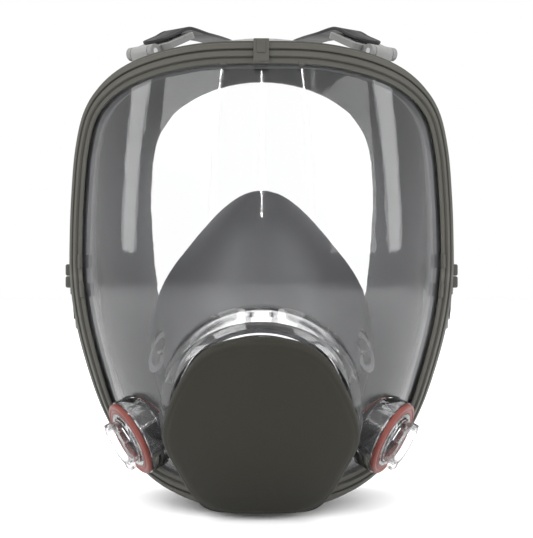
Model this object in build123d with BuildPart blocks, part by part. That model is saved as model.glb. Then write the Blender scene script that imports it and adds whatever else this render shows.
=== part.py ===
"""Full face respirator: panoramic visor, clamp frame, face seal, nose cup, valves and head harness.

Millimetres. The wearer's face opening lies in the plane Y = 0, the visor looks towards -Y and +Z is up.
X is across the face: a name ending in _right is on the +X side, one ending in _left is its mirror image.
"""
import os
from math import cos, pi, radians, sin, sqrt

from build123d import *

os.makedirs("parts", exist_ok=True)

# Visor surface: a barrel whose horizontal radius tightens towards the chin.
VISOR_FRONT = -105.0
VISOR_RADIUS = 108.0
PROFILE_RADIUS = 300.0
CHIN_TIGHTENING = 30.0
CHIN_DEPTH = 83.0
VISOR_WALL = 2.5

# Each row runs from the top centre to the bottom centre of the right half:
# (x, z) of the clamp frame's line, of the seal's back edge, and of the face opening.
RIM_ROWS = [
    ((0.0, 103.6), (0.0, 129.5), (0.0, 101.0)),
    ((30.0, 103.2), (35.0, 125.5), (23.0, 98.0)),
    ((56.0, 99.0), (63.0, 116.0), (41.0, 89.5)),
    ((74.0, 91.5), (84.5, 103.0), (50.5, 80.0)),
    ((85.5, 79.5), (97.0, 87.0), (56.0, 70.5)),
    ((90.6, 61.0), (101.5, 66.0), (59.0, 57.0)),
    ((92.5, 38.0), (101.0, 39.0), (60.0, 37.0)),
    ((93.2, 17.0), (99.5, 17.5), (59.2, 17.5)),
    ((93.0, -3.6), (97.2, -3.6), (57.5, -2.0)),
    ((89.8, -26.0), (95.5, -29.0), (54.5, -24.0)),
    ((83.7, -50.0), (92.5, -56.0), (50.0, -46.0)),
    ((76.5, -72.0), (84.0, -80.0), (43.0, -66.0)),
    ((66.5, -90.0), (69.0, -99.0), (33.0, -82.0)),
    ((52.0, -101.5), (51.0, -108.5), (22.0, -89.0)),
    ((31.0, -108.5), (30.0, -113.5), (11.0, -92.0)),
    ((0.0, -111.5), (0.0, -116.0), (0.0, -93.0)),
]
LAST_ROW = len(RIM_ROWS) - 1
SEAM_ROW = 8
SEAM_PLACES = (SEAM_ROW, -SEAM_ROW, 2 * LAST_ROW - SEAM_ROW)
SEAM_HEIGHT = -3.6
SEAL_BACK = -5.0
SEAL_LIP = -15.5
SEAL_WALL = 6.0
SEAL_BEAD = [(-3.2, -3.2), (4.6, -3.2), (4.6, -9.4), (1.7, -9.0), (1.7, -5.6), (-3.0, -5.6)]

# Clamp frame section, in (inward, outward from the visor surface).
FRAME_SECTION = [
    (-6.0, -8.3),
    (0.3, -8.3),
    (0.3, -6.6),
    (-4.2, -6.6),
    (-4.2, 0.7),
    (6.0, 0.7),
    (5.6, 2.0),
    (3.0, 3.5),
    (-3.0, 4.0),
    (-6.0, 2.5),
]
VISOR_EDGE_INSET = 2.3

# Centre port, on an axis that points forward and down.
PORT_TILT = 22.0
PORT_HEIGHT = -66.0
PORT_REACH = -99.5
COLLAR_RADIUS = 47.6
COLLAR_BORE = 43.0
COLLAR_FRONT = 5.0
ADAPTER_RADIUS = 42.7
ADAPTER_BORE = 39.2
SEAT_BORE_RADIUS = 2.1
VALVE_RADIUS = 17.0
COVER_BACK = 8.0
COVER_CROWN = 23.0
COVER_WALL = 2.2
COVER_WIDTH = 91.0
COVER_TOP = 42.0
COVER_BOTTOM = -51.0

# Cheek ports, mirrored about the middle.
CHEEK_PORT = Vector(64.0, -70.0, -83.5)
CHEEK_AXIS = Vector(0.808, -0.411, -0.424)
BOSS_RADIUS = 19.5
BOSS_BORE = 14.5
GASKET_RADIUS = 19.0
GASKET_THICKNESS = 2.4
BAYONET_RADIUS = 11.2
BAYONET_BORE = 9.4
BAYONET_REACH = 8.0
LUG_RADIUS = 13.4

# Nose cup rim, (across, up) from the middle of the rim, from the top round the right side.
NOSE_RIM = [
    (0.0, 80.0),
    (11.0, 77.0),
    (23.0, 67.5),
    (38.0, 50.0),
    (50.0, 33.0),
    (57.0, 12.0),
    (57.0, -12.0),
    (48.0, -38.0),
    (27.0, -55.0),
    (0.0, -60.0),
]
NOSE_RIM_TILT = 13.0
NOSE_RIM_CENTRE = Vector(0.0, -33.8, -38.0)
NOSE_WALL = 2.0
NOSE_FRONT_RADIUS = 41.6
NOSE_FRONT_DEPTH = -16.2

# Harness.
STRAP_WIDTH = 18.0
STRAP_THICKNESS = 1.8
BUCKLE_WIDTH = 29.0
BUCKLE_LENGTH = 24.0
BUCKLE_THICKNESS = 3.2
PIN_RADIUS = 1.5
PIN_HOLE_RADIUS = 1.56


def finish(builder, name):
    """Label a finished piece and write it out."""
    builder.part.label = name
    export_step(builder.part, f"parts/{name}.step")


def visor_radius(z):
    if z >= 0:
        return VISOR_RADIUS
    return VISOR_RADIUS - CHIN_TIGHTENING * (z / CHIN_DEPTH) ** 2


def visor_front(z):
    return VISOR_FRONT + PROFILE_RADIUS - sqrt(PROFILE_RADIUS**2 - z**2)


def visor_point(x, z):
    radius = visor_radius(z)
    return Vector(x, visor_front(z) + radius - sqrt(radius**2 - x**2), z)


def visor_normal(x, z):
    step = 0.01
    slope_x = visor_point(x + step, z).Y - visor_point(x - step, z).Y
    slope_z = visor_point(x, z + step).Y - visor_point(x, z - step).Y
    return Vector(slope_x, -2 * step, slope_z).normalized()


def control_point(index, column):
    """Point of one rim curve, for any whole index round the ring; negative indices are the left half."""
    index = (index + LAST_ROW) % (2 * LAST_ROW) - LAST_ROW
    x, z = RIM_ROWS[abs(index)][column]
    return Vector(-x if index < 0 else x, 0, z)


def rim_curve(place, column):
    """Smooth curve through the rows' points, where place counts rows and may be a fraction."""
    start = int(place // 1)
    t = place - start
    before, first, second, after = [control_point(start + step, column) for step in (-1, 0, 1, 2)]
    linear = (second - before) * t
    square = (before * 2 - first * 5 + second * 4 - after) * t**2
    cube = (first * 3 - before - second * 3 + after) * t**3
    return (first * 2 + linear + square + cube) * 0.5


def frame_point(place):
    flat = rim_curve(place, 0)
    return visor_point(flat.X, flat.Z)


def rim_plane(place):
    """Plane across the frame: X points inward along the visor and Y outward from it."""
    here = frame_point(place)
    outward = visor_normal(here.X, here.Z)
    tangent = (frame_point(place + 0.1) - frame_point(place - 0.1)).normalized()
    if place in SEAM_PLACES:
        tangent = Vector(0, 0, -1 if place == SEAM_ROW else 1)
        outward = Vector(outward.X, outward.Y, 0).normalized()
    inward = tangent.cross(outward).normalized()
    return Plane(origin=here, x_dir=inward, z_dir=inward.cross(outward))


def visor_sections(inset, swing, heights):
    """Horizontal circular segments that a visor-shaped solid is lofted through."""
    sections = []
    for height in heights:
        radius = visor_radius(height) - inset
        centre = visor_front(height) + visor_radius(height)
        end_x = radius * sin(radians(swing))
        end_y = centre - radius * cos(radians(swing))
        with BuildSketch(Plane.XY.offset(height)) as segment:
            with BuildLine():
                ThreePointArc((-end_x, end_y), (0, centre - radius), (end_x, end_y))
                Line((end_x, end_y), (-end_x, end_y))
            make_face()
        sections.append(segment.sketch)
    return sections


def port_plane(depth):
    """Plane across the centre port's axis, at a depth along it; Y of the plane is up the cover."""
    axis = Vector(0, -cos(radians(PORT_TILT)), -sin(radians(PORT_TILT)))
    origin = Vector(0, PORT_REACH, PORT_HEIGHT) + axis * depth
    return Plane(origin=origin, x_dir=(1, 0, 0), z_dir=axis)


def cheek_plane(depth):
    """Plane across the right cheek port's axis, at a depth along it."""
    axis = CHEEK_AXIS.normalized()
    upward = Vector(0, 0, 1) - axis * axis.Z
    return Plane(origin=CHEEK_PORT + axis * depth, x_dir=upward.cross(axis).normalized(), z_dir=axis)


def mirrored(builder, name):
    """The left-hand copy of a right-hand piece."""
    with BuildPart() as copy:
        mirror(builder.part, about=Plane.YZ)
    finish(copy, name)
    return copy


VISOR_HEIGHTS = range(-118, 113, 23)

# Space behind the visor wall, cut from everything that is moulded onto the visor.
with BuildPart() as visor_inside:
    loft(visor_sections(VISOR_WALL, 88, VISOR_HEIGHTS))

# Visor lens: barrel shell trimmed to its edge, with the centre collar and two cheek bosses.
edge_points = []
for half_row in range(4 * LAST_ROW):
    edge = rim_plane(half_row / 2).from_local_coords(Vector(VISOR_EDGE_INSET, 0, 0))
    edge_points.append((edge.X, edge.Z))
with BuildPart() as lens:
    loft(visor_sections(0, 80, VISOR_HEIGHTS))
    with BuildSketch(Plane.XZ):
        with BuildLine():
            Spline(*edge_points, periodic=True)
        make_face()
    extrude(amount=200, mode=Mode.INTERSECT)
    with BuildSketch(port_plane(-18)):
        Circle(COLLAR_RADIUS)
    extrude(amount=18 + COLLAR_FRONT)
    with Locations(cheek_plane(-16)):
        Cylinder(BOSS_RADIUS, 16, align=(Align.CENTER, Align.CENTER, Align.MIN))
    with Locations(cheek_plane(-16)):
        cheek_boss = Cylinder(BOSS_RADIUS, 16, align=(Align.CENTER, Align.CENTER, Align.MIN), mode=Mode.PRIVATE)
    mirror(cheek_boss, about=Plane.YZ)
    add(visor_inside.part, mode=Mode.SUBTRACT)
    with BuildSketch(port_plane(-40)):
        Circle(COLLAR_BORE)
    extrude(amount=60, mode=Mode.SUBTRACT)
    with Locations(cheek_plane(-30)):
        cheek_bore = Cylinder(BOSS_BORE, 40, align=(Align.CENTER, Align.CENTER, Align.MIN), mode=Mode.PRIVATE)
    add(cheek_bore, mode=Mode.SUBTRACT)
    mirror(cheek_bore, about=Plane.YZ, mode=Mode.SUBTRACT)
finish(lens, "lens")


def frame_half(places):
    """Planar sections of the clamp frame along one half."""
    sections = []
    for place in places:
        with BuildSketch(rim_plane(place)) as section:
            with BuildLine():
                Polyline(*FRAME_SECTION, close=True)
            make_face()
        sections.append(section.sketch)
    return sections


def seal_half(places):
    """Planar sections of the face seal: bead in the frame, wall to the face, lip turned in."""
    sections = []
    for place in places:
        frame = frame_point(place)
        back_point = rim_curve(place, 1) + Vector(0, SEAL_BACK, 0)
        lip_point = rim_curve(place, 2) + Vector(0, SEAL_LIP, 0)
        away = Vector(back_point.X - lip_point.X, 0, back_point.Z - lip_point.Z).normalized()
        plane = Plane(origin=frame, x_dir=away, z_dir=away.cross(Vector(0, 1, 0)))
        back = plane.to_local_coords(back_point)
        lip = plane.to_local_coords(lip_point)
        bead = []
        for inward, outward in SEAL_BEAD:
            corner = plane.to_local_coords(rim_plane(place).from_local_coords(Vector(inward, outward, 0)))
            bead.append((corner.X, corner.Y))
        middle = (back.X + lip.X) / 2
        outline = bead[:3] + [
            (back.X - SEAL_WALL, back.Y - 9),
            (middle, lip.Y + 4),
            (lip.X, lip.Y),
            (lip.X, lip.Y + 2),
            (middle, lip.Y + 9),
            (back.X - SEAL_WALL, back.Y - SEAL_BACK),
            (back.X, back.Y),
        ] + bead[3:]
        with BuildSketch(plane) as section:
            with BuildLine():
                Polyline(*outline, close=True)
            make_face()
        sections.append(section.sketch)
    return sections


# Clamp frame: two U-shaped halves that meet at the side seams.
UPPER_PLACES = [half_row / 2 for half_row in range(-2 * SEAM_ROW, 2 * SEAM_ROW + 1)]
LOWER_PLACES = [half_row / 2 for half_row in range(2 * SEAM_ROW, 4 * LAST_ROW - 2 * SEAM_ROW + 1)]
EAR_X = 97.0
EAR_Y = -40.5
EAR_LENGTH = 9.0
EAR_DEPTH = 9.0
EAR_HEIGHT = 6.0
SEAM_GAP = 0.1
SCREW_HOLE_RADIUS = 1.6
EAR_ABOVE = SEAM_HEIGHT + SEAM_GAP + EAR_HEIGHT / 2
EAR_BELOW = SEAM_HEIGHT - SEAM_GAP - EAR_HEIGHT / 2

# Room that the lower frame leaves for the collar and the cheek bosses.
with BuildPart() as collar_relief:
    with BuildSketch(port_plane(-18)):
        Circle(COLLAR_RADIUS + 0.3)
    extrude(amount=18 + COLLAR_FRONT + 2)
    with Locations(cheek_plane(-16)):
        relief = Cylinder(BOSS_RADIUS + 0.4, 30, align=(Align.CENTER, Align.CENTER, Align.MIN), mode=Mode.PRIVATE)
    add(relief)
    mirror(relief, about=Plane.YZ)

with BuildPart() as frame_upper:
    loft(frame_half(UPPER_PLACES), ruled=True)
    with Locations((EAR_X, EAR_Y, EAR_ABOVE), (-EAR_X, EAR_Y, EAR_ABOVE)):
        Box(EAR_LENGTH, EAR_DEPTH, EAR_HEIGHT)
        Cylinder(SCREW_HOLE_RADIUS, EAR_HEIGHT, mode=Mode.SUBTRACT)
finish(frame_upper, "frame_upper")

with BuildPart() as frame_lower:
    loft(frame_half(LOWER_PLACES), ruled=True)
    add(collar_relief.part, mode=Mode.SUBTRACT)
    with Locations((EAR_X, EAR_Y, EAR_BELOW), (-EAR_X, EAR_Y, EAR_BELOW)):
        Box(EAR_LENGTH, EAR_DEPTH, EAR_HEIGHT)
        Cylinder(SCREW_HOLE_RADIUS, EAR_HEIGHT, mode=Mode.SUBTRACT)
finish(frame_lower, "frame_lower")

# Face seal: one soft moulding, lofted in two halves that share their end sections.
with BuildPart() as face_seal:
    loft(seal_half(UPPER_PLACES), ruled=True)
    loft(seal_half(LOWER_PLACES), ruled=True)
finish(face_seal, "face_seal")

# Screws and nuts that clamp the two frame halves together.
SCREW_RADIUS = 1.5
SCREW_HEAD_RADIUS = 2.8
SCREW_HEAD_HEIGHT = 2.0
NUT_WIDTH = 5.5
NUT_HEIGHT = 2.2
EAR_TOP = SEAM_HEIGHT + SEAM_GAP + EAR_HEIGHT
EAR_BOTTOM = SEAM_HEIGHT - SEAM_GAP - EAR_HEIGHT
SHANK_LENGTH = EAR_TOP - EAR_BOTTOM + NUT_HEIGHT
EAR_PLACES = [(EAR_X, EAR_Y), (-EAR_X, EAR_Y)]

with BuildPart() as frame_screws:
    with BuildSketch(Plane.XY.offset(EAR_BOTTOM - SCREW_HEAD_HEIGHT)):
        with Locations(*EAR_PLACES):
            Circle(SCREW_HEAD_RADIUS)
    extrude(amount=SCREW_HEAD_HEIGHT)
    fillet(frame_screws.edges().group_by(Axis.Z)[0], 0.6)
    with BuildSketch(Plane.XY.offset(EAR_BOTTOM)):
        with Locations(*EAR_PLACES):
            Circle(SCREW_RADIUS)
    extrude(amount=SHANK_LENGTH)
    with BuildSketch(Plane.XY.offset(EAR_BOTTOM - SCREW_HEAD_HEIGHT)):
        with Locations(*EAR_PLACES):
            Rectangle(3.2, 0.8)
            Rectangle(0.8, 3.2)
    extrude(amount=1.0, mode=Mode.SUBTRACT)
finish(frame_screws, "frame_screws")

with BuildPart() as frame_nuts:
    with BuildSketch(Plane.XY.offset(EAR_TOP)):
        with Locations(*EAR_PLACES):
            RegularPolygon(NUT_WIDTH / 2, 6, major_radius=False)
            Circle(SCREW_RADIUS + 0.02, mode=Mode.SUBTRACT)
    extrude(amount=NUT_HEIGHT)
finish(frame_nuts, "frame_nuts")

# Nose cup: thin soft shell from the centre adapter to its rim on the face.
NOSE_MIDDLE_BULGE = 1.06


def nose_section(share, inset, shift):
    """Section of the nose cup: share 0 is the round front, 1 is the rim; shift moves it outward."""
    tilt = radians(PORT_TILT + (NOSE_RIM_TILT - PORT_TILT) * share)
    axis = Vector(0, -cos(tilt), -sin(tilt))
    origin = port_plane(NOSE_FRONT_DEPTH).origin * (1 - share) + NOSE_RIM_CENTRE * share + axis * shift
    bulge = 1 + (NOSE_MIDDLE_BULGE - 1) * 4 * share * (1 - share)
    steps = len(NOSE_RIM) - 1
    outline = []
    for step in range(2 * steps):
        across, up = NOSE_RIM[min(step, 2 * steps - step)]
        if step > steps:
            across = -across
        angle = pi * step / steps
        round_point = Vector(sin(angle), cos(angle)) * NOSE_FRONT_RADIUS
        point = (round_point * (1 - share) + Vector(across, up) * share) * bulge
        outline.append(point - point.normalized() * inset)
    with BuildSketch(Plane(origin=origin, x_dir=(1, 0, 0), z_dir=axis)) as section:
        with BuildLine():
            Spline(*[(point.X, point.Y) for point in outline], periodic=True)
        make_face()
    return section.sketch


# Nose cup valves sit in round windows on the two sides of the cup.
NOSE_VALVE_PLACE = Vector(49.5, -60.0, -42.0)
NOSE_VALVE_AXIS = Vector(0.83, -0.45, 0.32)
NOSE_SEAT_RADIUS = 11.0
NOSE_SEAT_BORE = 7.5
NOSE_FLAP_RADIUS = 8.6
FLAP_THICKNESS = 0.8
STEM_RADIUS = 1.2
STEM_HOLE_RADIUS = 1.26


def axis_plane(place, direction, depth):
    """Plane across an axis at a depth along it, with its X direction horizontal."""
    axis = direction.normalized()
    upward = Vector(0, 0, 1) - axis * axis.Z
    return Plane(origin=place + axis * depth, x_dir=upward.cross(axis).normalized(), z_dir=axis)


def disc(plane, radius, thickness, bore=0.0):
    """Round plate or ring standing on a plane."""
    with BuildPart() as plate:
        with BuildSketch(plane):
            Circle(radius)
            if bore > 0:
                Circle(bore, mode=Mode.SUBTRACT)
        extrude(amount=thickness)
    return plate.part


def spider(plane, radius, hub_radius, spoke_width, thickness):
    """Hub with three spokes reaching out to a ring."""
    with BuildPart() as arms:
        with BuildSketch(plane):
            Circle(hub_radius)
            for spoke in range(3):
                with Locations(Rotation(0, 0, 120 * spoke)):
                    Rectangle(radius, spoke_width, align=(Align.MIN, Align.CENTER))
        extrude(amount=thickness)
    return arms.part


nose_seat_plane = [axis_plane(NOSE_VALVE_PLACE, NOSE_VALVE_AXIS, depth) for depth in (-12.0, -2.0, -1.0)]
with BuildPart() as nose_cup:
    loft([nose_section(share, 0, 0) for share in (0.0, 0.33, 0.67, 1.0)])
    loft(
        [nose_section(share, NOSE_WALL, shift) for share, shift in ((0.0, 0.5), (0.33, 0), (0.67, 0), (1.0, -0.5))],
        mode=Mode.SUBTRACT,
    )
    window = disc(nose_seat_plane[0], NOSE_SEAT_RADIUS, 24)
    add(window, mode=Mode.SUBTRACT)
    mirror(window, about=Plane.YZ, mode=Mode.SUBTRACT)
finish(nose_cup, "nose_cup")

with BuildPart() as nose_valve_seat_right:
    add(disc(nose_seat_plane[1], NOSE_SEAT_RADIUS - 0.1, 4, NOSE_SEAT_BORE))
    add(spider(nose_seat_plane[1], NOSE_SEAT_BORE + 0.5, 2.6, 1.4, 2.0))
    add(disc(nose_seat_plane[1], STEM_HOLE_RADIUS, 2.0), mode=Mode.SUBTRACT)
finish(nose_valve_seat_right, "nose_valve_seat_right")
mirrored(nose_valve_seat_right, "nose_valve_seat_left")

nose_flap_plane = axis_plane(NOSE_VALVE_PLACE, NOSE_VALVE_AXIS, -2.0 - FLAP_THICKNESS - 0.05)
with BuildPart() as nose_valve_right:
    add(disc(nose_flap_plane, NOSE_FLAP_RADIUS, FLAP_THICKNESS))
    add(disc(nose_flap_plane, STEM_RADIUS, FLAP_THICKNESS + 3.6))
finish(nose_valve_right, "nose_valve_right")
mirrored(nose_valve_right, "nose_valve_left")

# Cheek ports: bayonet connector, gasket and inhalation valve.
PORT_TUBE_BACK = -11.0
PORT_SEAT_BACK = -2.0
PORT_SEAT_FRONT = 1.5
PORT_SHOULDER = GASKET_THICKNESS + 0.1
INHALE_FLAP_RADIUS = 10.8
CHAMBER_RADIUS = 12.4
TUBE_RADIUS = BOSS_BORE - 0.1
SHOULDER_RADIUS = 12.6
with BuildPart() as inhalation_port_right:
    add(disc(cheek_plane(PORT_TUBE_BACK), TUBE_RADIUS, GASKET_THICKNESS - PORT_TUBE_BACK, CHAMBER_RADIUS))
    add(disc(cheek_plane(PORT_SEAT_BACK), TUBE_RADIUS, PORT_SEAT_FRONT - PORT_SEAT_BACK, BAYONET_BORE))
    add(disc(cheek_plane(PORT_SEAT_FRONT), SHOULDER_RADIUS, PORT_SHOULDER + 0.8 - PORT_SEAT_FRONT, BAYONET_BORE))
    add(disc(cheek_plane(PORT_SHOULDER), BAYONET_RADIUS, BAYONET_REACH - PORT_SHOULDER, BAYONET_BORE))
    for lug in range(3):
        with BuildSketch(cheek_plane(BAYONET_REACH - 3.0)):
            with Locations(Rotation(0, 0, 120 * lug + 30)):
                with Locations((BAYONET_RADIUS + 0.4, 0)):
                    Rectangle(2 * (LUG_RADIUS - BAYONET_RADIUS - 0.4), 7.0)
        extrude(amount=3.0)
    add(spider(cheek_plane(PORT_SEAT_BACK), BAYONET_BORE + 0.5, 3.0, 1.6, 2.5))
    add(disc(cheek_plane(PORT_SEAT_BACK), STEM_HOLE_RADIUS, 2.5), mode=Mode.SUBTRACT)
finish(inhalation_port_right, "inhalation_port_right")
mirrored(inhalation_port_right, "inhalation_port_left")

with BuildPart() as port_gasket_right:
    add(disc(cheek_plane(0.05), GASKET_RADIUS, GASKET_THICKNESS, TUBE_RADIUS + 0.1))
    fillet(port_gasket_right.edges().filter_by(GeomType.CIRCLE).sort_by(SortBy.LENGTH)[-2:], 0.8)
finish(port_gasket_right, "port_gasket_right")
mirrored(port_gasket_right, "port_gasket_left")

inhale_flap_plane = cheek_plane(PORT_SEAT_BACK - FLAP_THICKNESS - 0.05)
with BuildPart() as inhalation_valve_right:
    add(disc(inhale_flap_plane, INHALE_FLAP_RADIUS, FLAP_THICKNESS))
    add(disc(inhale_flap_plane, STEM_RADIUS, FLAP_THICKNESS + 4.5))
finish(inhalation_valve_right, "inhalation_valve_right")
mirrored(inhalation_valve_right, "inhalation_valve_left")

# Centre port: adapter, gasket, exhalation valve and cover.
ADAPTER_BACK = -16.0
SPIGOT_BACK = -22.0
SPIGOT_RADIUS = NOSE_FRONT_RADIUS - NOSE_WALL - 0.5
SEAT_PLATE_BACK = -3.0
with BuildPart() as centre_adapter:
    add(disc(port_plane(ADAPTER_BACK), ADAPTER_RADIUS, 4 - ADAPTER_BACK, ADAPTER_BORE))
    add(disc(port_plane(SPIGOT_BACK), SPIGOT_RADIUS, ADAPTER_BACK - SPIGOT_BACK, SPIGOT_RADIUS - 2.4))
    add(disc(port_plane(ADAPTER_BACK), ADAPTER_BORE + 0.5, 2.0, SPIGOT_RADIUS - 2.4))
    add(disc(port_plane(SEAT_PLATE_BACK), ADAPTER_BORE + 0.5, -SEAT_PLATE_BACK, SEAT_BORE_RADIUS))
    with BuildSketch(port_plane(SEAT_PLATE_BACK)):
        with PolarLocations(9.2, 6):
            Circle(3.6)
    extrude(amount=-SEAT_PLATE_BACK, mode=Mode.SUBTRACT)
finish(centre_adapter, "centre_adapter")

with BuildPart() as exhalation_valve:
    add(disc(port_plane(0.05), VALVE_RADIUS, 1.2))
    add(disc(port_plane(-5.0), SEAT_BORE_RADIUS - 0.06, 5.5))
    fillet(exhalation_valve.edges().filter_by(GeomType.CIRCLE).sort_by(SortBy.LENGTH)[-1], 0.4)
finish(exhalation_valve, "exhalation_valve")


def cover_outline(inset):
    """Shield outline of the exhalation cover: round above, narrowing to a flatter foot."""
    half = COVER_WIDTH / 2 - inset
    top = COVER_TOP - inset
    foot = COVER_BOTTOM + inset
    right = [(0, top), (half * 0.62, top - 0.2 * half), (half, -3.0), (half * 0.86, -27.0), (half * 0.58, foot + 2)]
    left = [(-x, y) for x, y in reversed(right[1:])]
    with BuildLine() as outline:
        Spline(*right, (0, foot), *left, periodic=True)
    return outline.line


def cover_solid(inset, back, crown):
    with BuildPart() as body:
        with BuildSketch(port_plane(back)):
            with BuildLine():
                add(cover_outline(inset))
            make_face()
        extrude(amount=30)
        dome = port_plane(crown - COVER_DOME_RADIUS)
        with Locations(dome):
            Sphere(COVER_DOME_RADIUS, mode=Mode.INTERSECT)
    return body.part


COVER_DOME_RADIUS = 120.0
COVER_RING_RADIUS = ADAPTER_BORE - 0.15
COVER_RING_BORE = COVER_RING_RADIUS - 2.0
COVER_RING_LENGTH = 14.5
with BuildPart() as exhalation_cover:
    add(cover_solid(0, COVER_BACK, COVER_CROWN))
    add(cover_solid(COVER_WALL, COVER_BACK - 1, COVER_CROWN - COVER_WALL), mode=Mode.SUBTRACT)
    add(disc(port_plane(1.0), COVER_RING_RADIUS, COVER_RING_LENGTH, COVER_RING_BORE))
finish(exhalation_cover, "exhalation_cover")


# Harness: four lugs on the seal, each with a buckle on a pin, and straps to the crown pad.
LUG_WIDTH = 22.0
LUG_DEPTH = 15.0
LUG_BASE_LOW = -10.5
LUG_BASE_HIGH = -5.2
EYE_WIDTH = 12.0
EYE_RADIUS = 3.6
CHEEK_EYE_GAP = 0.3
SLOT_WIDTH = 19.5
SLOT_LENGTH = 4.6
BUCKLE_START = 4.6
EAR_THICKNESS = 3.0
STRAP_CLEARANCE = 0.8

# Pin centre, strap direction and pin direction of each right-hand buckle.
UPPER_PIN = Vector(63.0, -28.0, 115.0)
UPPER_RUN = Vector(-0.58, 0.70, 0.42)
UPPER_ACROSS = Vector(0.770, 0.638, 0.0)
LOWER_PIN = Vector(95.5, -30.0, -22.0)
LOWER_RUN = Vector(0.17, 0.94, 0.295)
LOWER_ACROSS = Vector(0.0, 0.2995, -0.9541)


def buckle_plane(pin, run, across):
    """Plane of a buckle at its pin: X along the pin, Y along the strap, Z away from the head."""
    run = run.normalized()
    across = (across - run * across.dot(run)).normalized()
    return Plane(origin=pin, x_dir=across, z_dir=across.cross(run))


def pin_bar(plane, radius, length):
    """Round bar centred on the pin line."""
    with BuildPart() as bar:
        with BuildSketch(Plane(origin=plane.origin - plane.x_dir * (length / 2), z_dir=plane.x_dir)):
            Circle(radius)
        extrude(amount=length)
    return bar.part


def make_lug(plane):
    with BuildPart() as lug:
        with BuildSketch(plane.offset(LUG_BASE_LOW)):
            with Locations((0, -3)):
                RectangleRounded(LUG_WIDTH, LUG_DEPTH, 3)
        extrude(amount=LUG_BASE_HIGH - LUG_BASE_LOW)
        with BuildSketch(plane.offset(LUG_BASE_HIGH)):
            Rectangle(EYE_WIDTH, 2 * EYE_RADIUS)
        extrude(amount=-LUG_BASE_HIGH)
        add(pin_bar(plane, EYE_RADIUS, EYE_WIDTH))
        add(pin_bar(plane, PIN_HOLE_RADIUS, EYE_WIDTH + 2), mode=Mode.SUBTRACT)
    return lug


def make_buckle(plane):
    ear_x = EYE_WIDTH / 2 + CHEEK_EYE_GAP + EAR_THICKNESS / 2
    with BuildPart() as buckle:
        with BuildSketch(plane.offset(-BUCKLE_THICKNESS / 2)):
            with Locations((0, BUCKLE_START + BUCKLE_LENGTH / 2)):
                RectangleRounded(BUCKLE_WIDTH, BUCKLE_LENGTH, 4)
            with Locations((0, BUCKLE_START + 8.0), (0, BUCKLE_START + 17.0)):
                Rectangle(SLOT_WIDTH, SLOT_LENGTH, mode=Mode.SUBTRACT)
        extrude(amount=BUCKLE_THICKNESS)
        for side in (-1, 1):
            ear = plane.from_local_coords(Vector(side * ear_x, 0, 0))
            add(pin_bar(Plane(origin=ear, x_dir=plane.x_dir, z_dir=plane.z_dir), EYE_RADIUS, EAR_THICKNESS))
            with BuildSketch(plane.offset(-BUCKLE_THICKNESS / 2)):
                with Locations((side * ear_x, BUCKLE_START / 2 + 0.5)):
                    Rectangle(EAR_THICKNESS, BUCKLE_START + 1)
            extrude(amount=BUCKLE_THICKNESS)
        add(pin_bar(plane, PIN_HOLE_RADIUS, BUCKLE_WIDTH), mode=Mode.SUBTRACT)
    return buckle


def make_strap(plane, route):
    """Flat strap that lies over the buckle and follows a route of (centre, width direction)."""
    level = BUCKLE_THICKNESS / 2 + STRAP_CLEARANCE + STRAP_THICKNESS / 2
    start = [(plane.from_local_coords(Vector(0, y, level)), plane.x_dir) for y in (8.0, 20.0, 31.0)]
    stations = start + route
    sections = []
    for index, (centre, across) in enumerate(stations):
        before = stations[max(index - 1, 0)][0]
        after = stations[min(index + 1, len(stations) - 1)][0]
        along = (after - before).normalized()
        width = (across - along * across.dot(along)).normalized()
        with BuildSketch(Plane(origin=centre, x_dir=width, z_dir=along)) as section:
            Rectangle(STRAP_WIDTH, STRAP_THICKNESS)
        sections.append(section.sketch)
    with BuildPart() as strap:
        loft(sections, ruled=True)
    return strap


upper_plane = buckle_plane(UPPER_PIN, UPPER_RUN, UPPER_ACROSS)
lower_plane = buckle_plane(LOWER_PIN, LOWER_RUN, LOWER_ACROSS)
CROWN_CENTRE = Vector(0.0, 152.0, 146.0)
CROWN_LENGTH = 76.0
CROWN_DEPTH = 48.0
CROWN_THICKNESS = 2.6
UPPER_ROUTE = [
    (Vector(37.0, 12.0, 131.8), Vector(0.85, 0.50, 0.0)),
    (Vector(31.0, 50.0, 137.5), Vector(0.97, 0.20, 0.0)),
    (Vector(26.0, 95.0, 144.0), Vector(1.0, 0.10, 0.0)),
    (Vector(22.0, 131.0, 148.5), Vector(1.0, 0.08, 0.0)),
    (Vector(20.0, 147.0, 148.9), Vector(1.0, 0.08, 0.0)),
]
LOWER_ROUTE = [
    (Vector(104.5, 14.0, -6.0), Vector(-0.05, 0.40, -0.92)),
    (Vector(100.0, 48.0, 16.0), Vector(-0.15, 0.60, -0.78)),
    (Vector(89.0, 88.0, 56.0), Vector(-0.10, 0.80, -0.55)),
    (Vector(73.0, 124.0, 102.0), Vector(0.00, 0.93, -0.35)),
    (Vector(52.0, 150.0, 136.0), Vector(0.25, 0.97, 0.0)),
    (Vector(34.0, 160.0, 148.9), Vector(0.3, 0.95, 0.0)),
    (Vector(24.0, 163.0, 149.1), Vector(0.3, 0.95, 0.0)),
]
for level, plane, route in (("upper", upper_plane, UPPER_ROUTE), ("lower", lower_plane, LOWER_ROUTE)):
    for piece, name in (
        (make_lug(plane), f"buckle_lug_{level}"),
        (make_buckle(plane), f"buckle_{level}"),
        (make_strap(plane, route), f"strap_{level}"),
    ):
        finish(piece, name + "_right")
        mirrored(piece, name + "_left")

with BuildPart() as buckle_pins:
    for plane in (upper_plane, lower_plane):
        bar = pin_bar(plane, PIN_RADIUS, EYE_WIDTH + 2 * (CHEEK_EYE_GAP + EAR_THICKNESS))
        add(bar)
        mirror(bar, about=Plane.YZ)
finish(buckle_pins, "buckle_pins")

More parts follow.
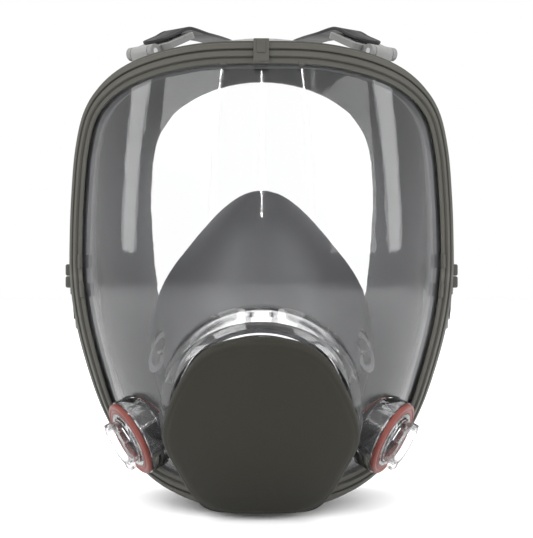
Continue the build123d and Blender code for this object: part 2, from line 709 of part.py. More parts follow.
with BuildPart() as crown_pad:
    with BuildSketch(Plane(origin=CROWN_CENTRE - Vector(0, 0, CROWN_THICKNESS / 2))):
        RectangleRounded(CROWN_LENGTH, CROWN_DEPTH, 12)
        RectangleRounded(24, 16, 6, mode=Mode.SUBTRACT)
    extrude(amount=CROWN_THICKNESS)
finish(crown_pad, "crown_pad")
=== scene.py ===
from math import cos, pi, radians, sin, sqrt

import bmesh
import bpy
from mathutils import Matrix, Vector


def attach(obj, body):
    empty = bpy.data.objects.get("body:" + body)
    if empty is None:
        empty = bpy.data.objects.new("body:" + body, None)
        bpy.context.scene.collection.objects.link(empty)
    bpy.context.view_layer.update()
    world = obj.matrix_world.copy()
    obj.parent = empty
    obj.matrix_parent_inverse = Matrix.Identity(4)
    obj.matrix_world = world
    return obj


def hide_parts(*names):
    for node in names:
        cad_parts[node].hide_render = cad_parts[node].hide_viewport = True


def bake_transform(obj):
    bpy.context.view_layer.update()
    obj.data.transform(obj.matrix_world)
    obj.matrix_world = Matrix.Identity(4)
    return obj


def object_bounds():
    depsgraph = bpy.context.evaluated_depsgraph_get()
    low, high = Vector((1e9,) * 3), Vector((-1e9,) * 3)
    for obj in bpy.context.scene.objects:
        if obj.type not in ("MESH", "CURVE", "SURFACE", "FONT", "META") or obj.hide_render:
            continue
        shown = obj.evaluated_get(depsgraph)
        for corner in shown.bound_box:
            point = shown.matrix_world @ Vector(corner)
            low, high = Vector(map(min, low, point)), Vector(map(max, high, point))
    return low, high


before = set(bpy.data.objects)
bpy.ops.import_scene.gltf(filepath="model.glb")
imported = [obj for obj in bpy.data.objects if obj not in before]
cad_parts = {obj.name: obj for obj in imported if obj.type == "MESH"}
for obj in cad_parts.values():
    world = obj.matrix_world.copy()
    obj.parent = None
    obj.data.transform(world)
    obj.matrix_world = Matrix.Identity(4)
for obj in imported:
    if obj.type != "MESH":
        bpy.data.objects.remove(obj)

MM = 0.001
CAD_BOX = [[float(c) for c in corner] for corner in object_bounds()]

# ---------------------------------------------------------------- shape constants, mm, as in the CAD
VISOR_FRONT = -105.0
VISOR_RADIUS = 108.0
PROFILE_RADIUS = 300.0
CHIN_TIGHTENING = 30.0
CHIN_DEPTH = 83.0
# (x, z) of the clamp frame, the back of the seal and its lip, from the brow down the right side to the chin
RIM_ROWS = [
    ((0.0, 103.6), (0.0, 129.5), (0.0, 101.0)),
    ((30.0, 103.2), (35.0, 125.5), (23.0, 98.0)),
    ((56.0, 99.0), (63.0, 116.0), (41.0, 89.5)),
    ((74.0, 91.5), (84.5, 103.0), (50.5, 80.0)),
    ((85.5, 79.5), (97.0, 87.0), (56.0, 70.5)),
    ((90.6, 61.0), (101.5, 66.0), (59.0, 57.0)),
    ((92.5, 38.0), (101.0, 39.0), (60.0, 37.0)),
    ((93.2, 17.0), (99.5, 17.5), (59.2, 17.5)),
    ((93.0, -3.6), (97.2, -3.6), (57.5, -2.0)),
    ((89.8, -26.0), (95.5, -29.0), (54.5, -24.0)),
    ((83.7, -50.0), (92.5, -56.0), (50.0, -46.0)),
    ((76.5, -72.0), (84.0, -80.0), (43.0, -66.0)),
    ((66.5, -90.0), (69.0, -99.0), (33.0, -82.0)),
    ((52.0, -101.5), (51.0, -108.5), (22.0, -89.0)),
    ((31.0, -108.5), (30.0, -113.5), (11.0, -92.0)),
    ((0.0, -111.5), (0.0, -116.0), (0.0, -93.0)),
]
FRAME_COLUMN = 0
SEAL_BACK_COLUMN = 1
SEAL_LIP_COLUMN = 2
LAST_ROW = len(RIM_ROWS) - 1
SEAM_ROW = 8
SEAM_HEIGHT = -3.6
SEAL_BACK = -5.0
SEAL_LIP = -15.5
SEAL_WALL = 6.0
SEAL_BEAD = [(-3.2, -3.2), (4.6, -3.2), (4.6, -9.4), (1.7, -9.0), (1.7, -5.6), (-3.0, -5.6)]
# (across the band, outward) round the section of the clamp frame
FRAME_SECTION = [
    (-5.7, -8.3), (-6.0, -8.0), (-6.0, 1.7), (-5.7, 2.3), (-4.3, 2.5), (-4.0, 2.9), (-3.8, 3.6), (-3.4, 3.95),
    (-1.0, 4.0), (-0.65, 3.7), (-0.5, 2.9), (0.1, 2.9), (0.3, 3.3), (0.6, 3.55), (2.9, 3.35), (3.2, 3.0),
    (3.35, 2.0), (3.9, 1.9), (4.1, 2.2), (5.3, 2.0), (5.9, 1.5), (6.0, 0.75), (-4.2, 0.7), (-4.2, -6.6),
    (0.3, -6.6), (0.3, -8.3),
]
PORT_TILT = 22.0
PORT_PLACE = Vector((0.0, -99.5, -66.0))
COLLAR_RADIUS = 47.6
CHEEK_PORT = Vector((64.0, -70.0, -83.5))
CHEEK_AXIS = Vector((0.808, -0.411, -0.424)).normalized()
BOSS_RADIUS = 19.5
NOSE_RIM = [
    (0.0, 80.0), (11.0, 77.0), (23.0, 67.5), (38.0, 50.0), (50.0, 33.0), (57.0, 12.0), (57.0, -12.0),
    (48.0, -38.0), (27.0, -55.0), (0.0, -60.0),
]
NOSE_RIM_TILT = 13.0
NOSE_RIM_CENTRE = Vector((0.0, -33.8, -38.0))
NOSE_WALL = 2.0
NOSE_FRONT_RADIUS = 41.6
NOSE_FRONT_DEPTH = -16.2
NOSE_BULGE = 0.06
NOSE_VALVE_PLACE = Vector((49.5, -60.0, -42.0))
NOSE_VALVE_AXIS = Vector((0.83, -0.45, 0.32)).normalized()
COVER_BACK = 8.0
COVER_CROWN = 23.0
COVER_DOME = 120.0
COVER_WALL = 2.2
COVER_WIDTH = 91.0
COVER_TOP = 42.0
COVER_BOTTOM = -51.0
COVER_RING_RADIUS = 39.05
COVER_RING_BORE = 37.05
COVER_RING_START = 1.0
COVER_RING_END = 15.5
STRAP_WIDTH = 18.0
STRAP_THICKNESS = 1.8
BUCKLE_THICKNESS = 3.2
STRAP_CLEARANCE = 0.8
UPPER_PIN = Vector((63.0, -28.0, 115.0))
UPPER_RUN = Vector((-0.58, 0.70, 0.42))
UPPER_ACROSS = Vector((0.770, 0.638, 0.0))
LOWER_PIN = Vector((95.5, -30.0, -22.0))
LOWER_RUN = Vector((0.17, 0.94, 0.295))
LOWER_ACROSS = Vector((0.0, 0.2995, -0.9541))
# each strap station is its centre and the direction of its width
UPPER_ROUTE = [
    (Vector((37.0, 12.0, 131.8)), Vector((0.85, 0.50, 0.0))),
    (Vector((31.0, 50.0, 137.5)), Vector((0.97, 0.20, 0.0))),
    (Vector((26.0, 95.0, 144.0)), Vector((1.0, 0.10, 0.0))),
    (Vector((22.0, 131.0, 148.5)), Vector((1.0, 0.08, 0.0))),
    (Vector((20.0, 147.0, 148.9)), Vector((1.0, 0.08, 0.0))),
]
LOWER_ROUTE = [
    (Vector((104.5, 14.0, -6.0)), Vector((-0.05, 0.40, -0.92))),
    (Vector((100.0, 48.0, 16.0)), Vector((-0.15, 0.60, -0.78))),
    (Vector((89.0, 88.0, 56.0)), Vector((-0.10, 0.80, -0.55))),
    (Vector((73.0, 124.0, 102.0)), Vector((0.0, 0.93, -0.35))),
    (Vector((52.0, 150.0, 136.0)), Vector((0.25, 0.97, 0.0))),
    (Vector((34.0, 160.0, 148.9)), Vector((0.3, 0.95, 0.0))),
    (Vector((24.0, 163.0, 149.1)), Vector((0.3, 0.95, 0.0))),
]
CROWN_CENTRE = Vector((0.0, 152.0, 146.0))
# sizes of details, mm, and counts
RINGS_PER_ROW = 8
SEAL_RINGS_PER_ROW = 5
SEAM_BLEND = 0.5
SHARP_ANGLE = 38.0
EAR_X = 97.0
EAR_Y = -40.5
EAR_SIZE = 9.0
EAR_HEIGHT = 6.0
EAR_STEP_X = 95.2
EAR_STEP_Y = -46.0
EAR_STEP_SIZE = (6.5, 4.0)
EAR_STEP_SHIFT = 2.0
EAR_STEP_EXTRA = 3.0
SEAM_GAP = 0.1
TAB_FROM_SEAM = 0.35
TAB_SIZE = (7.0, 1.8, 3.0)
PAINTED_HIGHLIGHT_REACH = 2.4
COLLAR_CLEARANCE = 0.3
BOSS_CLEARANCE = 0.4
PAINTED_HIGHLIGHT_CORNERS = (8, 9)
POINTS_PER_CORNER = 4
VALVE_WINDOW_RADIUS = 11.0
STRAP_STEPS = 10
STRAP_ON_BUCKLE = (8.0, 20.0, 31.0)
TAPER_RINGS = 4
TAPER_START = 0.6
STRAP_HOLD = 28.0
CAMERA_PLACE = (0.0025, -0.645, 0.0)
CAMERA_LENS = 77.7


# ---------------------------------------------------------------- materials
def surface(name, color, roughness, grain=1200.0, bump=0.15, shade=0.18, edge_highlight=0.0, **sockets):
    """Moulded surface: broad shade variation, fine grain in roughness and bump, and a painted highlight on
    convex edges.
    """
    mat = bpy.data.materials.new(name)
    mat.use_nodes = True
    nodes, links = mat.node_tree.nodes, mat.node_tree.links
    shader = nodes["Principled BSDF"]
    place = nodes.new("ShaderNodeTexCoord")
    broad = nodes.new("ShaderNodeTexNoise")
    broad.inputs["Scale"].default_value = 22.0
    broad.inputs["Detail"].default_value = 5.0
    fine = nodes.new("ShaderNodeTexNoise")
    fine.inputs["Scale"].default_value = grain
    fine.inputs["Detail"].default_value = 3.0
    for noise in (broad, fine):
        links.new(place.outputs["Object"], noise.inputs["Vector"])
    # a Mix node in RGBA has its colours at inputs 6 and 7 and its result at output 2
    tint = nodes.new("ShaderNodeMix")
    tint.data_type = "RGBA"
    tint.inputs[6].default_value = [c * (1 - shade) for c in color] + [1]
    tint.inputs[7].default_value = [min(1.0, c * (1 + shade)) for c in color] + [1]
    links.new(broad.outputs["Fac"], tint.inputs[0])
    result = tint.outputs[2]
    # convex edges, picked out by pointiness, are painted paler: a painted highlight where the rims catch the
    # light
    if edge_highlight:
        shape = nodes.new("ShaderNodeNewGeometry")
        edge = nodes.new("ShaderNodeMapRange")
        edge.inputs["From Min"].default_value = 0.52
        edge.inputs["From Max"].default_value = 0.62
        edge.inputs["To Max"].default_value = edge_highlight
        links.new(shape.outputs["Pointiness"], edge.inputs["Value"])
        highlit_edges = nodes.new("ShaderNodeMix")
        highlit_edges.data_type = "RGBA"
        highlit_edges.inputs[7].default_value = [min(1.0, c * 2.2 + 0.03) for c in color] + [1]
        links.new(edge.outputs["Result"], highlit_edges.inputs[0])
        links.new(result, highlit_edges.inputs[6])
        result = highlit_edges.outputs[2]
    links.new(result, shader.inputs["Base Color"])
    rough = nodes.new("ShaderNodeMapRange")
    rough.inputs["To Min"].default_value = max(0.0, roughness - 0.07)
    rough.inputs["To Max"].default_value = min(1.0, roughness + 0.07)
    links.new(fine.outputs["Fac"], rough.inputs["Value"])
    links.new(rough.outputs["Result"], shader.inputs["Roughness"])
    relief = nodes.new("ShaderNodeBump")
    relief.inputs["Strength"].default_value = bump
    relief.inputs["Distance"].default_value = 0.0002
    links.new(fine.outputs["Fac"], relief.inputs["Height"])
    links.new(relief.outputs["Normal"], shader.inputs["Normal"])
    for socket, value in sockets.items():
        shader.inputs[socket.replace("_", " ")].default_value = value
    return mat


frame_mat = surface("frame_moulding", (0.029, 0.028, 0.023), 0.50, bump=0.2, edge_highlight=0.45,
                    Specular_IOR_Level=0.28)
cover_mat = surface("cover_moulding", (0.009, 0.0085, 0.005), 0.62, bump=0.3, edge_highlight=0.5,
                    Specular_IOR_Level=0.22)
seal_mat = surface("seal_rubber", (0.046, 0.046, 0.049), 0.6, grain=5000, bump=0.03, Specular_IOR_Level=0.3)
# paler grey for the seal's top along the brow: a painted highlight of the top light on its upper face, the
# rubber being the same as the rest of the seal
brow_painted_highlight_mat = surface("seal_brow_painted_highlight", (0.14, 0.14, 0.136), 0.55, grain=1600, bump=0.15)
cup_mat = surface("cup_rubber", (0.014, 0.014, 0.016), 0.42, grain=5000, bump=0.02, Specular_IOR_Level=0.35)
strap_mat = surface("strap_rubber", (0.014, 0.014, 0.014), 0.6, grain=900, bump=0.3, Specular_IOR_Level=0.3)
gasket_mat = surface("gasket_rubber", (0.115, 0.024, 0.018), 0.45, grain=1500, bump=0.2, shade=0.3,
                     Specular_IOR_Level=0.35)
flap_mat = surface("flap_rubber", (0.05, 0.05, 0.05), 0.5)
seat_mat = surface("seat_moulding", (0.055, 0.055, 0.058), 0.45)
# lugs and buckles are painted paler than the dark strap rubber: a painted highlight of the top light on their
# upper faces
lug_painted_highlight_mat = surface("lug_painted_highlight", (0.15, 0.15, 0.147), 0.45)
buckle_painted_highlight_mat = surface("buckle_painted_highlight", (0.10, 0.10, 0.098), 0.42, edge_highlight=0.2)
steel_mat = surface("fastener_steel", (0.50, 0.50, 0.51), 0.33, grain=2500, bump=0.1, Metallic=1.0)
lens_mat = surface("lens_clear", (0.985, 0.99, 0.99), 0.0, grain=60, bump=0.006, shade=0.005,
                   Transmission_Weight=1.0, IOR=1.40)
port_mat = surface("port_clear", (0.80, 0.80, 0.81), 0.08, grain=420, bump=0.25, shade=0.08,
                   Transmission_Weight=1.0, IOR=1.33)


# ---------------------------------------------------------------- mesh helpers
def piece(name, points, faces, mats, body, replaced=(), sharp=SHARP_ANGLE, tags=None):
    mesh = bpy.data.meshes.new(name)
    mesh.from_pydata([tuple(Vector(p) * MM) for p in points], [], faces)
    mats = mats if isinstance(mats, list) else [mats]
    for mat in mats:
        mesh.materials.append(mat)
    if tags:
        for face, tag in zip(mesh.polygons, tags):
            face.material_index = tag
    edit = bmesh.new()
    edit.from_mesh(mesh)
    bmesh.ops.recalc_face_normals(edit, faces=edit.faces)
    edit.to_mesh(mesh)
    edit.free()
    for face in mesh.polygons:
        face.use_smooth = True
    mesh.set_sharp_from_angle(angle=radians(sharp))
    obj = bpy.data.objects.new(name, mesh)
    bpy.context.scene.collection.objects.link(obj)
    if body:
        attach(obj, body)
    if replaced:
        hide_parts(*replaced)
    return obj


def skin(rings, ring_closed=True, ends="cap"):
    """Points and faces of a surface through equal rings; ends are capped, joined into a loop, or open."""
    count = len(rings[0])
    points = [p for ring in rings for p in ring]
    faces = []
    spans = len(rings) if ends == "loop" else len(rings) - 1
    for i in range(spans):
        j = (i + 1) % len(rings)
        for k in range(count if ring_closed else count - 1):
            m = (k + 1) % count
            faces.append((i * count + k, i * count + m, j * count + m, j * count + k))
    if ends == "cap":
        faces.append(tuple(reversed(range(count))))
        faces.append(tuple(range((len(rings) - 1) * count, len(rings) * count)))
    return points, faces


def merge(*parts):
    points, faces = [], []
    for more_points, more_faces in parts:
        start = len(points)
        points += list(more_points)
        faces += [tuple(v + start for v in face) for face in more_faces]
    return points, faces


def lathe(place, axis, profile, steps=72):
    """Closed solid of revolution about an axis; the profile lists (radius, depth)."""
    across, up = frame_of(axis)
    rings = []
    for radius, depth in profile:
        ring = []
        for k in range(steps):
            angle = 2 * pi * k / steps
            ring.append(place + axis * depth + (across * cos(angle) + up * sin(angle)) * max(radius, 0.01))
        rings.append(ring)
    return skin(rings, ends="loop")


def frame_of(axis):
    across = (Vector((0, 0, 1)) - axis * axis.z).cross(axis).normalized()
    return across, axis.cross(across).normalized()


def soften(outline, rounds=2):
    """Corner cutting of a closed outline."""
    for _ in range(rounds):
        cut = []
        for k, point in enumerate(outline):
            after = outline[(k + 1) % len(outline)]
            cut.append(point * 0.75 + after * 0.25)
            cut.append(point * 0.25 + after * 0.75)
        outline = cut
    return outline


def spline(before, first, second, after, t):
    linear = (second - before) * t
    square = (before * 2 - first * 5 + second * 4 - after) * t**2
    cube = (first * 3 - before - second * 3 + after) * t**3
    return (first * 2 + linear + square + cube) * 0.5


def box_part(centre, across, out, along, size, bevel=0.5):
    """Bevelled block in its own directions, as points and faces."""
    edit = bmesh.new()
    bmesh.ops.create_cube(edit, size=1.0)
    for vert in edit.verts:
        vert.co = Vector((vert.co.x * size[0], vert.co.y * size[1], vert.co.z * size[2]))
    bmesh.ops.bevel(edit, geom=list(edit.edges), offset=bevel, segments=3, profile=0.5, affect="EDGES")
    edit.verts.index_update()
    points = [centre + across * v.co.x + out * v.co.y + along * v.co.z for v in edit.verts]
    faces = [tuple(v.index for v in face.verts) for face in edit.faces]
    edit.free()
    return points, faces


def cut_away(obj, cutters):
    """Boolean difference of simple solids from a piece, applied to its mesh."""
    for points, faces in cutters:
        cutter = piece("cutter", points, faces, seat_mat, None)
        change = obj.modifiers.new("cut", "BOOLEAN")
        change.operation = "DIFFERENCE"
        change.solver = "EXACT"
        change.object = cutter
        bpy.context.view_layer.update()
        evaluated = obj.evaluated_get(bpy.context.evaluated_depsgraph_get())
        result = bpy.data.meshes.new_from_object(evaluated)
        obj.modifiers.clear()
        obj.data = result
        bpy.data.objects.remove(cutter)
    obj.data.set_sharp_from_angle(angle=radians(SHARP_ANGLE))


def flip_x(part):
    points, faces = part
    return [Vector((-p.x, p.y, p.z)) for p in points], [tuple(reversed(face)) for face in faces]


# ---------------------------------------------------------------- visor and rim, same formulas as the CAD
def visor_point(x, z):
    radius = VISOR_RADIUS if z >= 0 else VISOR_RADIUS - CHIN_TIGHTENING * (z / CHIN_DEPTH) ** 2
    front = VISOR_FRONT + PROFILE_RADIUS - sqrt(PROFILE_RADIUS**2 - z**2)
    return Vector((x, front + radius - sqrt(max(radius**2 - x**2, 0.0)), z))


def visor_normal(x, z):
    step = 0.01
    slope_x = visor_point(x + step, z).y - visor_point(x - step, z).y
    slope_z = visor_point(x, z + step).y - visor_point(x, z - step).y
    return Vector((slope_x, -2 * step, slope_z)).normalized()


def control_point(index, column):
    index = (index + LAST_ROW) % (2 * LAST_ROW) - LAST_ROW
    x, z = RIM_ROWS[abs(index)][column]
    return Vector((-x if index < 0 else x, 0, z))


def rim_curve(place, column):
    start = int(place // 1)
    around = [control_point(start + step, column) for step in (-1, 0, 1, 2)]
    return spline(*around, place - start)


def frame_point(place):
    flat = rim_curve(place, FRAME_COLUMN)
    return visor_point(flat.x, flat.z)


def rim_axes(place):
    here = frame_point(place)
    outward = visor_normal(here.x, here.z)
    tangent = (frame_point(place + 0.1) - frame_point(place - 0.1)).normalized()
    near = min(abs(place - seam) for seam in (SEAM_ROW, -SEAM_ROW, 2 * LAST_ROW - SEAM_ROW))
    if near < SEAM_BLEND:
        side = 1 if here.x > 0 else -1
        level = 1 - near / SEAM_BLEND
        flat = Vector((outward.x, outward.y, 0)).normalized()
        tangent = tangent.lerp(Vector((0, 0, -side)), level).normalized()
        outward = outward.lerp(flat, level).normalized()
    inward = tangent.cross(outward).normalized()
    return here, inward, outward, tangent


def rim_place(place, inward, outward):
    here, to_middle, out, _ = rim_axes(place)
    return here + to_middle * inward + out * outward


def places(first, last, per_row):
    count = int((last - first) * per_row)
    return [first + k / per_row for k in range(count + 1)]


UPPER = places(-SEAM_ROW, SEAM_ROW, RINGS_PER_ROW)
LOWER = places(SEAM_ROW, 2 * LAST_ROW - SEAM_ROW, RINGS_PER_ROW)


def rim_block(place, inward, outward, size, bevel=0.4):
    """Small block on the frame: size is along the rim, outward, and across the band."""
    here, to_middle, out, tangent = rim_axes(place)
    centre = here + to_middle * inward + out * outward
    return box_part(centre, tangent, out, to_middle, size, bevel)


def ears(low, high):
    """The two screw ears of one frame half, each with a step that joins it to the rim."""
    axes = [Vector((1, 0, 0)), Vector((0, 1, 0)), Vector((0, 0, 1))]
    middle = (low + high) / 2
    shift = EAR_STEP_SHIFT if low > SEAM_HEIGHT else -EAR_STEP_SHIFT
    ear_size = (EAR_SIZE, EAR_SIZE, high - low)
    step_size = (*EAR_STEP_SIZE, high - low + EAR_STEP_EXTRA)
    parts = []
    for side in (-1, 1):
        ear = Vector((side * EAR_X, EAR_Y, middle))
        step = Vector((side * EAR_STEP_X, EAR_STEP_Y, middle + shift))
        parts.append(box_part(ear, *axes, ear_size, 1.0))
        parts.append(box_part(step, *axes, step_size, 0.8))
    return parts


def frame_band(ring_places):
    return skin([[rim_place(place, a, b) for a, b in FRAME_SECTION] for place in ring_places])


brow_blocks = [
    rim_block(0.0, 0.6, 3.9, (7.5, 2.0, 12.6)),
    rim_block(0.0, -1.2, 4.8, (4.2, 1.2, 7.0), 0.3),
    rim_block(-0.58, 6.0, 1.4, (3.0, 1.2, 1.6), 0.3),
    rim_block(0.62, 6.0, 1.4, (3.0, 1.2, 1.6), 0.3),
]
side_tabs = [rim_block(side * (SEAM_ROW - TAB_FROM_SEAM), 5.6, 1.7, TAB_SIZE) for side in (-1, 1)]
points, faces = merge(frame_band(UPPER), *brow_blocks, *side_tabs,
                      *ears(SEAM_HEIGHT + SEAM_GAP, SEAM_HEIGHT + SEAM_GAP + EAR_HEIGHT))
piece("frame_upper_moulding", points, faces, frame_mat, "facepiece", ["frame_upper"])
tab_places = (SEAM_ROW + TAB_FROM_SEAM, 2 * LAST_ROW - SEAM_ROW - TAB_FROM_SEAM)
side_tabs = [rim_block(place, 5.6, 1.7, TAB_SIZE) for place in tab_places]


def port_axes():
    axis = Vector((0, -cos(radians(PORT_TILT)), -sin(radians(PORT_TILT))))
    return axis, Vector((1, 0, 0)), Vector((0, -sin(radians(PORT_TILT)), cos(radians(PORT_TILT))))


PORT_AXIS, PORT_ACROSS, PORT_UP = port_axes()
collar_room = COLLAR_RADIUS + COLLAR_CLEARANCE
boss_room = BOSS_RADIUS + BOSS_CLEARANCE
collar_cut = lathe(PORT_PLACE, PORT_AXIS, [(0, -18), (collar_room, -18), (collar_room, 9), (0, 9)])
boss_cut = lathe(CHEEK_PORT, CHEEK_AXIS, [(0, -16), (boss_room, -16), (boss_room, 14), (0, 14)])
points, faces = frame_band(LOWER)
frame_lower = piece("frame_lower_moulding", points, faces, frame_mat, "facepiece",
                    ["frame_lower"])
cut_away(frame_lower, [collar_cut, boss_cut, flip_x(boss_cut)])
points, faces = merge(*side_tabs, *ears(SEAM_HEIGHT - SEAM_GAP - EAR_HEIGHT, SEAM_HEIGHT - SEAM_GAP))
piece("frame_lower_ears", points, faces, frame_mat, "facepiece")


# ---------------------------------------------------------------- face seal
def seal_ring(place):
    here = frame_point(place)
    back = rim_curve(place, SEAL_BACK_COLUMN) + Vector((0, SEAL_BACK, 0))
    lip = rim_curve(place, SEAL_LIP_COLUMN) + Vector((0, SEAL_LIP, 0))
    away = Vector((back.x - lip.x, 0, back.z - lip.z)).normalized()
    bead = [rim_place(place, a, b) for a, b in SEAL_BEAD]
    flat = [((p - here).dot(away), p.y - here.y, p) for p in bead]
    bx, by = (back - here).dot(away), back.y - here.y
    lx, ly = (lip - here).dot(away), lip.y - here.y
    mx = (bx + lx) / 2
    outline = [(f[0], f[1]) for f in flat[:3]]
    outline += [(bx - SEAL_WALL, by - 9), (mx, ly + 4), (lx, ly), (lx, ly + 2), (mx, ly + 9),
                (bx - SEAL_WALL, by - SEAL_BACK), (bx, by)]
    outline += [(f[0], f[1]) for f in flat[3:]]
    corners = [Vector((x, y, 0)) for x, y in outline]
    return [here + away * p.x + Vector((0, p.y, 0)) for p in soften(corners)]


ring_places = places(-LAST_ROW, LAST_ROW, SEAL_RINGS_PER_ROW)[:-1]
rings = [seal_ring(place) for place in ring_places]
points, faces = skin(rings, ends="loop")
count = len(rings[0])
tags = []
# seal faces at the brow corners near the middle take the paler brow material, a painted highlight of the top
# light
for i, place in enumerate(ring_places):
    for k in range(count):
        corner = k // POINTS_PER_CORNER
        tags.append(1 if corner in PAINTED_HIGHLIGHT_CORNERS and abs(place) < PAINTED_HIGHLIGHT_REACH else 0)
piece("face_seal_moulding", points, faces, [seal_mat, brow_painted_highlight_mat], "facepiece", ["face_seal"],
      sharp=60, tags=tags)


# ---------------------------------------------------------------- nose cup
def closed_spline(controls, per_span):
    count = len(controls)
    result = []
    for k in range(count):
        around = [controls[(k + step) % count] for step in (-1, 0, 1, 2)]
        result += [spline(*around, n / per_span) for n in range(per_span)]
    return result


def nose_ring(share, inset, shift):
    tilt = radians(PORT_TILT + (NOSE_RIM_TILT - PORT_TILT) * share)
    axis = Vector((0, -cos(tilt), -sin(tilt)))
    up = Vector((0, -sin(tilt), cos(tilt)))
    front = PORT_PLACE + PORT_AXIS * NOSE_FRONT_DEPTH
    origin = front * (1 - share) + NOSE_RIM_CENTRE * share + axis * shift
    bulge = 1 + NOSE_BULGE * 4 * share * (1 - share)
    steps = len(NOSE_RIM) - 1
    outline = []
    for step in range(2 * steps):
        across, height = NOSE_RIM[min(step, 2 * steps - step)]
        if step > steps:
            across = -across
        angle = pi * step / steps
        circle = Vector((sin(angle), cos(angle), 0)) * NOSE_FRONT_RADIUS
        point = (circle * (1 - share) + Vector((across, height, 0)) * share) * bulge
        outline.append(point - point.normalized() * inset)
    return [origin + Vector((1, 0, 0)) * p.x + up * p.y for p in closed_spline(outline, 4)]


shares = [k / 20 for k in range(21)]
rings = [nose_ring(share, 0.0, 0.0) for share in shares]
rings += [nose_ring(1.0, 0.5, -0.7), nose_ring(1.0, 1.5, -0.7)]
rings += [nose_ring(share, NOSE_WALL, 0.0) for share in reversed(shares)]
points, faces = skin(rings, ends="loop")
cup = piece("nose_cup_moulding", points, faces, cup_mat, "facepiece", ["nose_cup"], sharp=70)
window_profile = [(0, -12), (VALVE_WINDOW_RADIUS, -12), (VALVE_WINDOW_RADIUS, 12), (0, 12)]
window = lathe(NOSE_VALVE_PLACE, NOSE_VALVE_AXIS, window_profile, 48)
cut_away(cup, [window, flip_x(window)])


# ---------------------------------------------------------------- exhalation cover
def cover_outline(inset):
    half = COVER_WIDTH / 2 - inset
    top = COVER_TOP - inset
    foot = COVER_BOTTOM + inset
    right = [(0, top), (half * 0.62, top - 0.2 * half), (half, -3.0), (half * 0.86, -27.0),
             (half * 0.58, foot + 2)]
    controls = right + [(0, foot)] + [(-x, y) for x, y in reversed(right[1:])]
    return closed_spline([Vector((x, y, 0)) for x, y in controls], 12)


def cover_ring(inset, share, drop, back=None):
    """Ring of the cover: inset, share of the way out, and drop below the dome or a set depth."""
    ring = []
    for p in cover_outline(inset):
        x, y = p.x * share, p.y * share
        depth = COVER_CROWN - COVER_DOME + sqrt(COVER_DOME**2 - x * x - y * y) - drop
        if back is not None:
            depth = back
        ring.append(PORT_PLACE + PORT_ACROSS * x + PORT_UP * y + PORT_AXIS * depth)
    return ring


rings = [cover_ring(3.0, share, COVER_WALL) for share in (0.03, 0.3, 0.6, 0.85)]
rings += [cover_ring(3.4, 1.0, COVER_WALL), cover_ring(COVER_WALL, 1.0, 0, COVER_BACK)]
rings += [cover_ring(0.4, 1.0, 0, COVER_BACK), cover_ring(0.0, 1.0, 0, COVER_BACK + 0.5),
          cover_ring(0.0, 1.0, 2.2), cover_ring(0.3, 1.0, 1.2), cover_ring(1.1, 1.0, 0.65),
          cover_ring(2.3, 1.0, 0.5), cover_ring(2.6, 1.0, 0.35), cover_ring(3.0, 1.0, 0.05)]
rings += [cover_ring(3.0, share, 0.0) for share in (0.95, 0.88, 0.78, 0.66, 0.52, 0.38, 0.24, 0.12, 0.03)]
shell = skin(rings)
lip_profile = [
    (COVER_RING_RADIUS, 1.3), (COVER_RING_RADIUS, COVER_RING_END), (COVER_RING_BORE, COVER_RING_END),
    (COVER_RING_BORE, COVER_RING_START), (38.7, COVER_RING_START),
]
lip = lathe(PORT_PLACE, PORT_AXIS, lip_profile, 96)
points, faces = merge(shell, lip)
piece("exhalation_cover_moulding", points, faces, cover_mat, "exhalation_cover",
      ["exhalation_cover"], sharp=50)


# ---------------------------------------------------------------- valves and gaskets
def both_sides(part, stem, mat, bodies, nodes):
    for side in ("right", "left"):
        points, faces = part if side == "right" else flip_x(part)
        body = bodies.format(side)
        piece(f"{stem}_{side}", points, faces, mat, body, [nodes.format(side)])


flap = lathe(CHEEK_PORT, CHEEK_AXIS, [(0, -3.65), (9.4, -3.5), (10.6, -3.2), (10.8, -2.95), (10.5, -2.85),
                                      (1.6, -2.85), (1.2, -2.4), (1.2, 0.4), (1.0, 0.85), (0, 0.85)])
both_sides(flap, "inhalation_flap", flap_mat, "inhalation_valve_{}", "inhalation_valve_{}")
nose_flap_profile = [(0, -3.65), (7.4, -3.5), (8.4, -3.2), (8.6, -2.95), (8.3, -2.85),
                     (1.6, -2.85), (1.2, -2.4), (1.2, 1.1), (1.0, 1.5), (0, 1.5)]
flap = lathe(NOSE_VALVE_PLACE, NOSE_VALVE_AXIS, nose_flap_profile)
both_sides(flap, "nose_flap", flap_mat, "nose_valve_{}", "nose_valve_{}")
gasket = lathe(CHEEK_PORT, CHEEK_AXIS, [(14.5, 0.1), (14.6, 0.05), (18.5, 0.05), (19.0, 0.5), (19.0, 1.7),
                                        (18.6, 2.2), (17.9, 2.45), (17.2, 2.35), (16.8, 2.0), (16.3, 2.0),
                                        (15.9, 2.35), (15.2, 2.45), (14.7, 2.3), (14.5, 2.0)], 96)
both_sides(gasket, "gasket_ring", gasket_mat, "facepiece", "port_gasket_{}")
exhale_profile = [(0, 1.25), (12, 1.2), (15.5, 0.9), (16.8, 0.6), (17, 0.3), (16.6, 0.05),
                  (2.6, 0.05), (2.04, -0.4), (2.04, -4.6), (1.6, -5.0), (0, -5.0)]
points, faces = lathe(PORT_PLACE, PORT_AXIS, exhale_profile)
piece("exhalation_flap", points, faces, flap_mat, "exhalation_valve", ["exhalation_valve"])


# ---------------------------------------------------------------- harness
def buckle_axes(run, across):
    run = run.normalized()
    across = (across - run * across.dot(run)).normalized()
    return across, run, across.cross(run)


STRAP_SECTION = [
    (-1.0, -0.25), (-0.95, -0.5), (0.95, -0.5), (1.0, -0.25), (1.0, 0.25), (0.95, 0.5), (0.78, 0.5),
    (0.74, 0.32), (0.68, 0.32), (0.64, 0.5), (-0.64, 0.5), (-0.68, 0.32), (-0.74, 0.32), (-0.78, 0.5),
    (-0.95, 0.5), (-1.0, 0.25),
]


